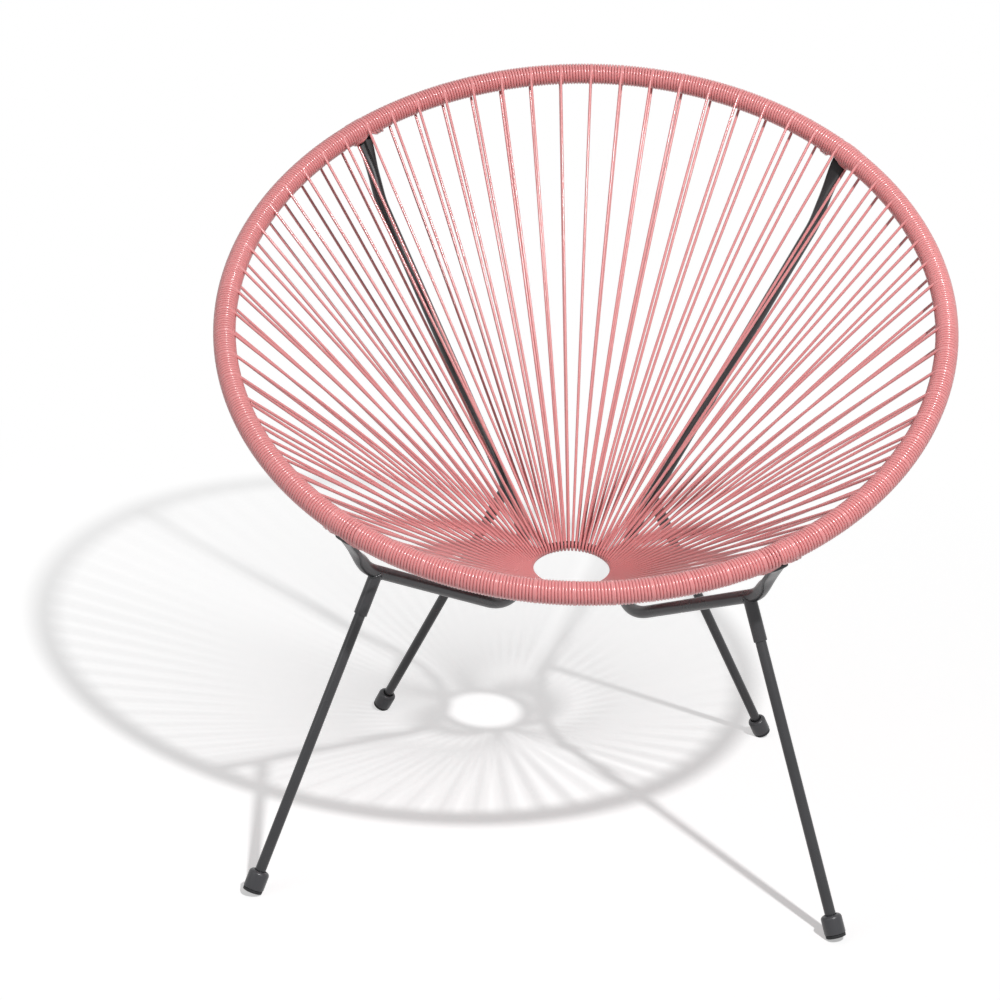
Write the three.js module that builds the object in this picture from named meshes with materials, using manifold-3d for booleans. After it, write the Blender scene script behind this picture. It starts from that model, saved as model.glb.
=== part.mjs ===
// An acapulco chair: a tilted round steel hoop wound with cord, a small hub ring hung in it on
// cord strands, two bent side tubes and four splayed rod legs.
// Millimetres, +Z up. The origin is on the floor under the middle of the hoop, and the sitter faces -Y.
import * as THREE from 'three';
import { mergeVertices } from 'three/addons/utils/BufferGeometryUtils.js';
import Module from 'manifold-3d';

const wasm = await Module();
wasm.setup();

const degree = Math.PI / 180;

// Clearances
const seatClearance = 0.3;       // between pieces that touch
const cutOverrun = 20;           // how far a cutting block passes what it cuts

// The hoop: one steel tube bent to a circle, leaning back
const hoopRadius = 358.3;        // centreline
const hoopHeight = 536;          // centre above the floor
const hoopTilt = 34.5 * degree;
const hoopDiameter = 16;

// The cord: wound round the hoop, and led down to the hub ring and back after every few turns
const cordDiameter = 3.1;
const cordGroove = 0.7;          // depth between two ribs of the winding
const strandPairs = 70;          // each pair is one strand down over the hub ring and one back under it
const evenPairs = 24;            // pairs from the top, down each side, that are evenly spaced
const ribShare = 0.22;           // where the two ribs between strands crest
const cordSections = 8;          // points round a rib
const hubTurnSteps = 5;
const hubSides = 6;

// The hub ring: a steel rod ring at the bottom of the seat
const hubRadius = 47;            // centreline
const hubRodDiameter = 8;
const hubClearance = 0.5;
const hubSetBack = 29;           // centre behind the middle of the hoop
const hubHeight = 248;           // centre above the floor
const hubTilt = 14.4 * degree;
const hubCordNarrowShare = 0.84; // the cord is squeezed narrower where it rounds the ring

// The side tubes: from the front of the hoop, under the seat beside the hub, up to the back of the hoop
const tubeDiameter = 13;
const tabWidth = 17;             // the tube ends are pressed flat and lie under the hoop
const tabThickness = 5.2;
const backTabPast = 5;           // how far a flattened end goes on past the middle of the hoop
const frontTabPast = 0.5;
const tabStraight = 13;          // flat stretch that lies square on the hoop
const tabCordGap = 2.2;          // the winding parts this far from each edge of a flattened end
const backTabPairs = 9;          // pairs from the top of the hoop to the back end
const backTabRise = 3.5;         // and how much nearer to the top it lies
const frontTabPairs = 29;        // and to the front end
const frontTabAngle = 147 * degree;
const backTabTurn = 5.2 * degree;    // away from the line to the hub
const frontTabTurn = 262 * degree;   // where round the hoop it lies: 0 faces the hub, 90 the sitter
const backFlatLength = 18;
const backBlendLength = 36;
const frontFlatLength = 30;
const frontBlendLength = 30;
const backEaseAlong = 78;        // the back end eases away from the hoop over this length
const backEaseDrop = 21;         // and then lies this far behind the strands
const tabBendRadius = 30;
const easeBendRadius = 110;
const innerBendReach = 154;      // of the inner bend along each run, from where the runs would meet
const innerVertexHalfWidth = 5;  // where the two straight runs of a side tube would meet
const innerVertexSetBack = 59;   // behind the middle of the hub ring
const innerVertexDrop = 82;      // and below it
const frontBendRadius = 60;
const frontVertexInset = 10.7;   // where the front bend's runs would meet, from the front end's middle
const frontVertexSetBack = 60.1;
const frontVertexDrop = 59.2;
const tubeSides = 12;

// The legs: steel rods screwed into sockets under the side tubes
const legDiameter = 10.5;
const studDiameter = 6;
const studLength = 9;
const socketDiameter = 13;
const socketReach = 37.5;        // from the tube's surface to the open end
const socketBoreDepth = 22;
const studHoleDepth = 10.5;
const frontSocketAlong = 15;     // from the front bend's vertex, along the lower run
const rearSocketAlong = 162;     // from the inner bend's vertex, up the back run
const frontFootHalfWidth = 277;
const frontFootForward = 271;
const rearFootHalfWidth = 224;
const rearFootSetBack = 205;
const rodSides = 16;
const saddleSides = 24;          // of the round cut that seats a socket on its tube

// The feet: a plastic cap on each leg and a rubber pad under it, worn flat where it stands
const capDiameter = 20;
const capLength = 18;
const capFloor = 4;
const capShoulder = 4;
const capLip = 1.5;
const padDiameter = 19;
const padThickness = 3;
const padWear = 1;

// Colours and finishes
const cordMaterial = () => new THREE.MeshStandardMaterial({ color: 0xd9797a, roughness: 0.38, metalness: 0 });
const steelMaterial = () => new THREE.MeshStandardMaterial({ color: 0x3a3b3d, roughness: 0.5, metalness: 0.3 });
const capMaterial = () => new THREE.MeshStandardMaterial({ color: 0x45464a, roughness: 0.45, metalness: 0 });
const padMaterial = () => new THREE.MeshStandardMaterial({ color: 0x1c1c1e, roughness: 0.8, metalness: 0 });

// Sizes worked out from the ones above
const hoopTubeRadius = hoopDiameter / 2;
const boreRadius = hoopTubeRadius + seatClearance;
const ribRadius = boreRadius + cordDiameter;
const grooveRadius = ribRadius - cordGroove;
const cordSide = cordDiameter * Math.sqrt(Math.PI) / 2;   // a square cord with the round one's area
const pairAngle = 2 * Math.PI / strandPairs;
const pairPitch = hoopRadius * pairAngle;
const cordHalfShare = cordSide / pairPitch / 2;
const hubRodRadius = hubRodDiameter / 2;
const hubTurnRadius = (hubRodRadius + hubClearance + cordSide / 2) / Math.cos(Math.PI / hubTurnSteps / 2);
const tubeRadius = tubeDiameter / 2;

const vector = (x, y, z) => new THREE.Vector3(x, y, z);
const along = (point, direction, distance) => point.clone().addScaledVector(direction, distance);
const square = (direction, axis) => along(direction, axis, -direction.dot(axis)).normalize();

// A closed shell built point by point and face by face
class Shell {
  constructor() {
    this.points = [];
    this.faces = [];
  }

  ring(points) {
    return points.map((point) => this.points.push(point) - 1);
  }

  // Splits a four-sided face along its shorter diagonal
  quad(a, b, c, d) {
    const [pa, pb, pc, pd] = [a, b, c, d].map((i) => this.points[i]);
    if (pa.distanceTo(pc) <= pb.distanceTo(pd)) this.faces.push([a, b, c], [a, c, d]);
    else this.faces.push([a, b, d], [b, c, d]);
  }

  // Joins two rings of equally many points, or only the sides of them that are asked for
  band(first, second, wanted = () => true) {
    first.forEach((start, i) => {
      const next = (i + 1) % first.length;
      if (wanted(i)) this.quad(start, second[i], second[next], first[next]);
    });
  }

  fan(ring, turned) {
    for (let i = 1; i < ring.length - 1; i += 1) {
      this.faces.push(turned ? [ring[0], ring[i + 1], ring[i]] : [ring[0], ring[i], ring[i + 1]]);
    }
  }

  geometry() {
    const volume = this.faces.reduce((sum, [a, b, c]) => {
      const cross = this.points[b].clone().cross(this.points[c]);
      return sum + this.points[a].dot(cross);
    }, 0);
    const faces = volume > 0 ? this.faces : this.faces.map(([a, b, c]) => [a, c, b]);
    const geometry = new THREE.BufferGeometry().setFromPoints(this.points);
    geometry.setIndex(faces.flat());
    geometry.computeVertexNormals();
    return geometry;
  }
}

// Joins and cuts
const toSolid = (geometry) => {
  const bare = geometry.index ? geometry.clone() : geometry;
  bare.deleteAttribute('normal');
  if (bare.attributes.uv) bare.deleteAttribute('uv');
  const merged = mergeVertices(bare);
  const corners = [...merged.index.array];
  const kept = [];
  for (let i = 0; i < corners.length; i += 3) {
    const [a, b, c] = corners.slice(i, i + 3);
    if (a !== b && b !== c && c !== a) kept.push(a, b, c);
  }
  const vertProperties = new Float32Array(merged.attributes.position.array);
  return new wasm.Manifold(new wasm.Mesh({ numProp: 3, vertProperties, triVerts: new Uint32Array(kept) }));
};

const toGeometry = (solid) => {
  const mesh = solid.getMesh();
  const geometry = new THREE.BufferGeometry();
  geometry.setAttribute('position', new THREE.BufferAttribute(new Float32Array(mesh.vertProperties), 3));
  geometry.setIndex([...mesh.triVerts]);
  geometry.computeVertexNormals();
  return geometry;
};

const mirrored = (geometry) => {
  const copy = geometry.clone();
  const places = copy.attributes.position;
  for (let i = 0; i < places.count; i += 1) places.setX(i, -places.getX(i));
  const corners = [...copy.index.array];
  for (let i = 0; i < corners.length; i += 3) {
    [corners[i + 1], corners[i + 2]] = [corners[i + 2], corners[i + 1]];
  }
  copy.setIndex(corners);
  copy.computeVertexNormals();
  return copy;
};

const chair = new THREE.Group();
chair.name = 'acapulco_chair';
const add = (name, geometry, material) => {
  const mesh = new THREE.Mesh(geometry, material());
  mesh.name = name;
  chair.add(mesh);
};
const addPair = (name, geometry, material) => {
  add(`${name}_right`, geometry, material);
  add(`${name}_left`, mirrored(geometry), material);
};

// A turned piece whose axis is +Y, from [radius, height] points that start and end on the axis
const turned = (profile, sides = rodSides) => {
  const points = profile.map(([radius, height]) => new THREE.Vector2(radius, height));
  return toGeometry(toSolid(new THREE.LatheGeometry(points, sides)));
};

// A station counts strand pairs from the top of the hoop, towards +X. The pairs are evenly spaced down
// to evenPairs, and from there as the front ends of the side tubes leave room.
const halfPairs = strandPairs / 2;
const spacing = [
  [0, 0],
  [evenPairs, evenPairs * pairAngle],
  [frontTabPairs, frontTabAngle],
  [halfPairs, Math.PI],
];
const hoopAngle = (station) => {
  const near = Math.min(station, strandPairs - station);
  const i = Math.max(spacing.findIndex(([end]) => end >= near), 1);
  const [start, startAngle] = spacing[i - 1];
  const [end, endAngle] = spacing[i];
  const angle = THREE.MathUtils.mapLinear(near, start, end, startAngle, endAngle);
  return Math.PI / 2 - (station > halfPairs ? 2 * Math.PI - angle : angle);
};
const hubAngle = (station) => Math.PI / 2 - station * pairAngle;

const circlePoint = (centre, radius, tilt, angle) => {
  const rise = radius * Math.sin(angle);
  return vector(radius * Math.cos(angle), rise * Math.cos(tilt), rise * Math.sin(tilt)).add(centre);
};
const hoopCentre = vector(0, 0, hoopHeight);
const hubCentre = vector(0, hubSetBack, hubHeight);
const hoopCorner = (station) => circlePoint(hoopCentre, hoopRadius, hoopTilt, hoopAngle(station));
const hubPoint = (station) => circlePoint(hubCentre, hubRadius, hubTilt, hubAngle(station));

// The hoop and its winding share corners one strand pair apart, and run straight between them
const hoopPoint = (station) => {
  const start = Math.floor(station);
  return hoopCorner(start).lerp(hoopCorner(start + 1), station - start);
};

// Directions at a point of a circle: side runs round it, toward runs along the strands, inward is the
// part of that square to side, and over points out of the seat's face
const frameAt = (point, target, angle, tilt) => {
  const side = vector(Math.sin(angle), -Math.cos(angle) * Math.cos(tilt), -Math.cos(angle) * Math.sin(tilt));
  const toward = target.clone().sub(point).normalize();
  const inward = square(toward, side);
  return { point, side, toward, inward, over: inward.clone().cross(side) };
};
const hoopFrame = (station) => frameAt(hoopPoint(station), hubPoint(station), hoopAngle(station), hoopTilt);
const hubFrame = (station) => {
  const frame = frameAt(hubPoint(station), hoopPoint(station), hubAngle(station), hubTilt);
  return { ...frame, over: frame.over.negate() };
};

const ringAround = ({ point, inward, over }, radius, sides) => Array.from({ length: sides }, (_, i) => {
  const angle = 2 * Math.PI * i / sides;
  return along(along(point, inward, radius * Math.cos(angle)), over, radius * Math.sin(angle));
});

const closedRing = (frames, radius, sides) => {
  const shell = new Shell();
  const rings = frames.map((frame) => shell.ring(ringAround(frame, radius, sides)));
  rings.forEach((ring, i) => shell.band(ring, rings[(i + 1) % rings.length]));
  return shell.geometry();
};

const stations = Array.from({ length: strandPairs }, (_, i) => i);
add('hoop_tube', closedRing(stations.map(hoopFrame), hoopTubeRadius, cordSections), steelMaterial);
const hubStations = stations.filter((i) => i % 2 === 0);
add('hub_ring', closedRing(hubStations.map(hubFrame), hubRodRadius, hubSides), steelMaterial);

// The four corners of a cord: under on its inner face, over on its outer one
const cordCorners = (centre, side, out, width) => [
  along(along(centre, side, -width / 2), out, -cordSide / 2),
  along(along(centre, side, width / 2), out, -cordSide / 2),
  along(along(centre, side, width / 2), out, cordSide / 2),
  along(along(centre, side, -width / 2), out, cordSide / 2),
];

// One strand pair: off the face of the winding, over the hub ring, round it and back under it
const strandRings = (station) => {
  const rim = hoopFrame(station);
  const hub = hubFrame(station);
  const rings = [];
  const leave = (sign) => {
    const start = along(rim.point, rim.over, sign * (ribRadius - cordSide / 2));
    const end = along(hub.point, hub.over, sign * hubTurnRadius);
    const centre = along(start, end.sub(start).normalize(), ribRadius);
    return cordCorners(centre, rim.side, rim.over.clone().multiplyScalar(sign), cordSide);
  };
  rings.push(leave(1));
  for (let i = 0; i <= hubTurnSteps; i += 1) {
    const angle = Math.PI / 2 + Math.PI * i / hubTurnSteps;
    const out = hub.inward.clone().multiplyScalar(Math.cos(angle)).addScaledVector(hub.over, Math.sin(angle));
    const width = cordSide * hubCordNarrowShare;
    rings.push(cordCorners(along(hub.point, out, hubTurnRadius), hub.side, out, width));
  }
  rings.push(leave(-1));
  return rings;
};

// Where the flattened ends of the right-hand side tube lie on the hoop. The winding parts there.
const backEnd = hoopFrame(backTabPairs - backTabRise / pairPitch);
const frontEnd = hoopFrame(frontTabPairs);
const frontVertex = vector(-frontVertexInset, frontVertexSetBack, -frontVertexDrop).add(frontEnd.point);
const innerVertex = vector(innerVertexHalfWidth, innerVertexSetBack, -innerVertexDrop).add(hubCentre);
const between = (first, second, angle) => first.clone().multiplyScalar(Math.cos(angle))
  .addScaledVector(second, Math.sin(angle));
const frontUnder = between(frontEnd.inward, frontEnd.over, frontTabTurn);
const frontAlong = between(frontEnd.inward, frontEnd.over, frontTabTurn + Math.PI / 2);
const backAlong = between(backEnd.toward, backEnd.side, backTabTurn);
const partedFaces = (frame, under) => {
  const middle = Math.atan2(under.dot(frame.over), under.dot(frame.inward));
  const half = Math.PI / cordSections;
  const reach = half + Math.acos(boreRadius / grooveRadius);
  const first = Math.floor((middle - reach - half) / half / 2) + 1;
  const last = Math.ceil((middle + reach - half) / half / 2) - 1;
  return Array.from({ length: last - first + 1 }, (_, i) => (first + i + cordSections) % cordSections);
};
const parted = new Map([
  [backTabPairs, { faces: partedFaces(backEnd, backEnd.over.clone().negate()), rise: backTabRise }],
  [frontTabPairs, { faces: partedFaces(frontEnd, frontUnder), rise: 0 }],
]);

// A stretch of the winding and the strands that leave it: one cord, and so one body.
// Two ribs stand for the turns between two strand pairs.
const upperFace = 1;                     // the side of the winding that the strand over the hub leaves
const lowerFace = cordSections - 2;      // and the one that the strand under it leaves
const cordStretch = (from, to) => {
  const shell = new Shell();
  const stops = [];
  for (let cell = from; cell < to; cell += 1) {
    const pitch = hoopCorner(cell).distanceTo(hoopCorner(cell + 1));
    const partHalf = tabWidth / 2 + tabCordGap;
    const before = parted.get(cell);
    const after = parted.get(cell + 1);
    stops.push({ at: cell, bored: true, open: before?.faces });
    const partEnd = before && cell + (partHalf - before.rise) / pitch;
    const partStart = after && cell + 1 - (partHalf + after.rise) / pitch;
    stops.push(before ? { at: partEnd, bored: true } : { at: cell + ribShare, rib: true });
    stops.push({ at: cell + 0.5 - cordHalfShare, strand: true });
    stops.push({ at: cell + 0.5 + cordHalfShare });
    stops.push(after
      ? { at: partStart, bored: true, open: after.faces }
      : { at: cell + 1 - ribShare, rib: true });
  }
  stops.push({ at: to, bored: true });
  stops[0].at += seatClearance / 2 / pairPitch;
  stops.at(-1).at -= seatClearance / 2 / pairPitch;
  stops.forEach((stop) => {
    const frame = hoopFrame(stop.at);
    stop.outer = shell.ring(ringAround(frame, stop.rib ? ribRadius : grooveRadius, cordSections));
    if (stop.bored) stop.bore = shell.ring(ringAround(frame, boreRadius, cordSections));
  });

  stops.slice(1).forEach((end, i) => {
    const start = stops[i];
    const missing = start.strand ? [upperFace, lowerFace] : start.open || [];
    shell.band(start.outer, end.outer, (face) => !missing.includes(face));
    if (!start.strand) return;
    const base = (face, turned) => {
      const corners = [start.outer[face], end.outer[face], end.outer[face + 1], start.outer[face + 1]];
      return turned ? corners.reverse() : corners;
    };
    const rings = strandRings((start.at + end.at) / 2).map((ring) => shell.ring(ring));
    const chain = [base(upperFace, false), ...rings, base(lowerFace, true)];
    chain.slice(1).forEach((ring, n) => shell.band(ring, chain[n]));
  });
  const bored = stops.filter((stop) => stop.bored);
  bored.slice(1).forEach((end, i) => {
    const start = bored[i];
    const open = start.open || [];
    shell.band(end.bore, start.bore, (face) => !open.includes(face));
    if (!start.open) return;
    const low = open[0];
    const high = (open.at(-1) + 1) % cordSections;
    shell.quad(end.outer[high], start.outer[high], start.bore[high], end.bore[high]);
    shell.quad(start.outer[low], end.outer[low], end.bore[low], start.bore[low]);
    if (i === 0 || !bored[i - 1].open) shell.band(start.outer, start.bore, (face) => open.includes(face));
    if (!end.open) shell.band(end.bore, end.outer, (face) => open.includes(face));
  });
  shell.band(bored[0].bore, bored[0].outer);
  shell.band(bored.at(-1).outer, bored.at(-1).bore);
  return shell.geometry();
};

const stretches = ['back', 'upper', 'middle', 'lower', 'front'];
stretches.forEach((name, i) => {
  const from = Math.round(halfPairs * i / stretches.length);
  const to = Math.round(halfPairs * (i + 1) / stretches.length);
  addPair(`seat_cord_${name}`, cordStretch(from, to), cordMaterial);
});

// The least gap between one strand and the next, measured corner to corner
const leastGap = Math.min(...stations.map((i) => {
  const here = strandRings(i + 0.5);
  const next = strandRings(i + 1.5);
  return Math.min(...here.map((ring, n) => Math.min(
    ring[1].distanceTo(next[n][0]),
    ring[2].distanceTo(next[n][3]),
  )));
}));
console.log(`least gap between neighbouring cords: ${leastGap.toFixed(2)} mm`);

// A route of straight runs with a round bend at each corner, given by its radius or by its reach
// along the runs
const bentRoute = (corners) => {
  const route = [corners[0].point];
  for (let i = 1; i < corners.length - 1; i += 1) {
    const { point, reach } = corners[i];
    const back = corners[i - 1].point.clone().sub(point).normalize();
    const ahead = corners[i + 1].point.clone().sub(point).normalize();
    const half = Math.acos(THREE.MathUtils.clamp(back.dot(ahead), -1, 1)) / 2;
    const sweep = Math.PI - 2 * half;
    const radius = corners[i].radius ?? reach * Math.tan(half);
    const centre = along(point, back.clone().add(ahead).normalize(), radius / Math.sin(half));
    const from = along(point, back, radius / Math.tan(half)).sub(centre);
    const axis = ahead.clone().cross(back).normalize();
    const steps = Math.max(2, Math.round(sweep / (11 * degree)));
    for (let n = 0; n <= steps; n += 1) {
      route.push(from.clone().applyAxisAngle(axis, sweep * n / steps).add(centre));
    }
  }
  route.push(corners.at(-1).point);
  return route;
};

// Adds points where the section changes, so that the flattened ends blend into the round tube
const withStops = (route, stops) => {
  const lengths = [0];
  route.slice(1).forEach((point, i) => lengths.push(lengths[i] + point.distanceTo(route[i])));
  const total = lengths.at(-1);
  const places = stops.map((stop) => (stop < 0 ? total + stop : stop));
  const marks = [...lengths, ...places].sort((a, b) => a - b);
  const kept = marks.filter((mark, i) => lengths.includes(mark) || marks.every((other, n) => n === i
    || !lengths.includes(other) || Math.abs(other - mark) > tabThickness / 2));
  return kept.map((mark) => {
    const n = Math.min(Math.max(lengths.findIndex((length) => length >= mark), 1), route.length - 1);
    const share = (mark - lengths[n - 1]) / (lengths[n] - lengths[n - 1]);
    return { point: route[n - 1].clone().lerp(route[n], share), at: mark, total };
  });
};

// The side tube's right-hand route, from its back end to its front end
const tabDrop = hoopTubeRadius + seatClearance + tabThickness / 2;
const backPlace = (distance, drop) => along(along(backEnd.point, backAlong, distance), backEnd.over, -drop);
const frontPlace = (distance) => along(along(frontEnd.point, frontAlong, distance), frontUnder, tabDrop);
const tubeCorners = [
  { point: backPlace(-backTabPast, tabDrop) },
  { point: backPlace(tabStraight, tabDrop), radius: tabBendRadius },
  { point: backPlace(backEaseAlong, backEaseDrop), radius: easeBendRadius },
  { point: innerVertex, reach: innerBendReach },
  { point: frontVertex, radius: frontBendRadius },
  { point: frontPlace(tabStraight), radius: tabBendRadius },
  { point: frontPlace(-frontTabPast) },
];
const blendStops = (flat, blend) => [flat, flat + blend / 3, flat + blend * 2 / 3, flat + blend];
const tubeStops = [
  ...blendStops(backFlatLength, backBlendLength),
  ...blendStops(frontFlatLength, frontBlendLength).map((stop) => -stop),
];
const tubeRoute = withStops(bentRoute(tubeCorners), tubeStops);

// The flat of each end lies along the hoop, and between them the section turns with the inner bend
const easeCorner = tubeCorners[2].point;
const bendAxis = easeCorner.clone().sub(innerVertex).cross(frontVertex.clone().sub(innerVertex)).normalize();
const tubeSection = ({ at, total }, direction) => {
  const ease = (distance, flat, blend) => THREE.MathUtils.smoothstep(distance, flat, flat + blend);
  const back = 1 - ease(at, backFlatLength, backBlendLength);
  const front = 1 - ease(total - at, frontFlatLength, frontBlendLength);
  const flat = Math.max(back, front);
  const nearBack = 1 - THREE.MathUtils.smoothstep(at / total, 0.1, 0.4);
  const nearFront = THREE.MathUtils.smoothstep(at / total, 0.7, 0.9);
  const across = bendAxis.clone().multiplyScalar(1 - nearBack - nearFront);
  const sign = (side) => Math.sign(side.dot(bendAxis)) || 1;
  across.addScaledVector(backEnd.side, nearBack * sign(backEnd.side));
  across.addScaledVector(frontEnd.side, nearFront * sign(frontEnd.side));
  const wide = square(across, direction);
  return {
    wide,
    thick: wide.clone().cross(direction),
    halfWidth: THREE.MathUtils.lerp(tubeRadius, tabWidth / 2, flat),
    halfThickness: THREE.MathUtils.lerp(tubeRadius, tabThickness / 2, flat),
    roundness: THREE.MathUtils.lerp(1, 0.55, flat),
  };
};

const sideTubeGeometry = (grow) => {
  const shell = new Shell();
  const rings = tubeRoute.map((stop, i) => {
    const before = tubeRoute[Math.max(i - 1, 0)].point;
    const after = tubeRoute[Math.min(i + 1, tubeRoute.length - 1)].point;
    const direction = after.clone().sub(before).normalize();
    const { wide, thick, halfWidth, halfThickness, roundness } = tubeSection(stop, direction);
    const power = (value) => Math.sign(value) * Math.abs(value) ** roundness;
    return shell.ring(Array.from({ length: tubeSides }, (_, n) => {
      const angle = 2 * Math.PI * (n + 0.5) / tubeSides;
      const across = (halfWidth + grow) * power(Math.cos(angle));
      const up = (halfThickness + grow) * power(Math.sin(angle));
      return along(along(stop.point, wide, across), thick, up);
    }));
  });
  rings.slice(1).forEach((ring, i) => shell.band(rings[i], ring));
  shell.fan(rings[0], false);
  shell.fan(rings.at(-1), true);
  return shell.geometry();
};

addPair('side_tube', sideTubeGeometry(0), steelMaterial);
const tubeCutter = toSolid(sideTubeGeometry(seatClearance));

// A leg's axis runs from the middle of its side tube to the middle of its pad's underside
const legAxis = (top, halfWidth, back) => {
  let foot = vector(halfWidth, back, 0);
  let direction = foot.clone().sub(top).normalize();
  for (let i = 0; i < 4; i += 1) {
    const lean = Math.hypot(direction.x, direction.y);
    foot = vector(halfWidth, back, padDiameter / 2 * lean - padWear);
    direction = foot.clone().sub(top).normalize();
  }
  return { top, foot, direction, length: foot.distanceTo(top) };
};
const lowerRun = innerVertex.clone().sub(frontVertex).normalize();
const backRun = easeCorner.clone().sub(innerVertex).normalize();
const legs = [
  {
    name: 'front',
    run: lowerRun,
    ...legAxis(along(frontVertex, lowerRun, frontSocketAlong), frontFootHalfWidth, -frontFootForward),
  },
  {
    name: 'rear',
    run: backRun,
    ...legAxis(along(innerVertex, backRun, rearSocketAlong), rearFootHalfWidth, rearFootSetBack),
  },
];

const socketEnd = tubeRadius + socketReach;
const boreEnd = socketEnd - socketBoreDepth;
const legRadius = legDiameter / 2;
const studRadius = studDiameter / 2;
const socketProfile = [
  [0, 0],
  [socketDiameter / 2, 0],
  [socketDiameter / 2, socketEnd],
  [legRadius + seatClearance, socketEnd],
  [legRadius + seatClearance, boreEnd],
  [studRadius + seatClearance, boreEnd],
  [studRadius + seatClearance, boreEnd - studHoleDepth],
  [0, boreEnd - studHoleDepth],
];
const legStart = boreEnd + seatClearance;
const capTop = (leg) => leg.length - padThickness - seatClearance - capLength;
const legProfile = (leg) => {
  const end = capTop(leg) + capLength - capFloor - seatClearance;
  return [
    [0, legStart - studLength],
    [studRadius, legStart - studLength],
    [studRadius, legStart],
    [legRadius, legStart],
    [legRadius, end],
    [0, end],
  ];
};
const capRadius = capDiameter / 2;
const capProfile = (leg) => {
  const top = capTop(leg);
  const shoulder = Array.from({ length: 4 }, (_, i) => {
    const angle = i * 30 * degree;
    return [
      capRadius - capShoulder * (1 - Math.sin(angle)),
      top + capShoulder * (1 - Math.cos(angle)),
    ];
  });
  return [
    [0, top + capLength - capFloor],
    [legRadius + seatClearance, top + capLength - capFloor],
    [legRadius + seatClearance, top + capLip],
    [legRadius + seatClearance + capLip / 2, top],
    ...shoulder,
    [capRadius, top + capLength],
    [0, top + capLength],
  ];
};
const padProfile = (leg) => [
  [0, leg.length - padThickness],
  [padDiameter / 2, leg.length - padThickness],
  [padDiameter / 2, leg.length],
  [0, leg.length],
];

// Places a turned piece at the top of a leg, with its axis on the leg's axis or on the one given
const onAxis = (geometry, leg, axis = leg.direction) => {
  const turn = new THREE.Quaternion().setFromUnitVectors(vector(0, 1, 0), axis);
  return geometry.clone().applyQuaternion(turn).translate(leg.top.x, leg.top.y, leg.top.z);
};
const saddleRadius = tubeRadius + seatClearance;
const saddle = new THREE.CylinderGeometry(saddleRadius, saddleRadius, socketDiameter * 3, saddleSides);
const belowFloor = new THREE.BoxGeometry(capDiameter * 3, capDiameter * 3, cutOverrun);

legs.forEach((leg) => {
  const round = toSolid(onAxis(turned(socketProfile), leg)).subtract(toSolid(onAxis(saddle, leg, leg.run)));
  const socket = round.subtract(tubeCutter);
  const floor = toSolid(belowFloor.clone().translate(leg.foot.x, leg.foot.y, -cutOverrun / 2));
  const pad = toSolid(onAxis(turned(padProfile(leg)), leg)).subtract(floor);
  addPair(`${leg.name}_leg_socket`, toGeometry(socket), steelMaterial);
  addPair(`${leg.name}_leg`, onAxis(turned(legProfile(leg)), leg), steelMaterial);
  addPair(`${leg.name}_foot_cap`, onAxis(turned(capProfile(leg)), leg), capMaterial);
  addPair(`${leg.name}_foot_pad`, toGeometry(pad), padMaterial);
});

export default chair;
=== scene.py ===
import math
import bpy
import bmesh
from mathutils import Matrix, Vector


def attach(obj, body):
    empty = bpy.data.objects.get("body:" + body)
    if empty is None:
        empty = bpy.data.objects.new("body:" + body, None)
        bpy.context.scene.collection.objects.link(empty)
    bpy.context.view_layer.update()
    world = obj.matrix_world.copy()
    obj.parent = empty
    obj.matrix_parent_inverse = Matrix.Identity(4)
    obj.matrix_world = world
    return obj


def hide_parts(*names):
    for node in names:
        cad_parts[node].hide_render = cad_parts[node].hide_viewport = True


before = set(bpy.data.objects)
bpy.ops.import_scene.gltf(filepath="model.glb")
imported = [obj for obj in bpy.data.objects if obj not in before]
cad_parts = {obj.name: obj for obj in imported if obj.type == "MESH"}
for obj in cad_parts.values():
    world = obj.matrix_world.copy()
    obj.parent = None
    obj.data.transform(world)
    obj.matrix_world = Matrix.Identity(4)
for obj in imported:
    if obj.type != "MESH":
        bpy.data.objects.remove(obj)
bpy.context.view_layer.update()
print("the frame is loaded")

mm = 0.001
rad = math.radians


# Node sockets as values: sums on a Link add Math or Vector Math nodes to its tree

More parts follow.
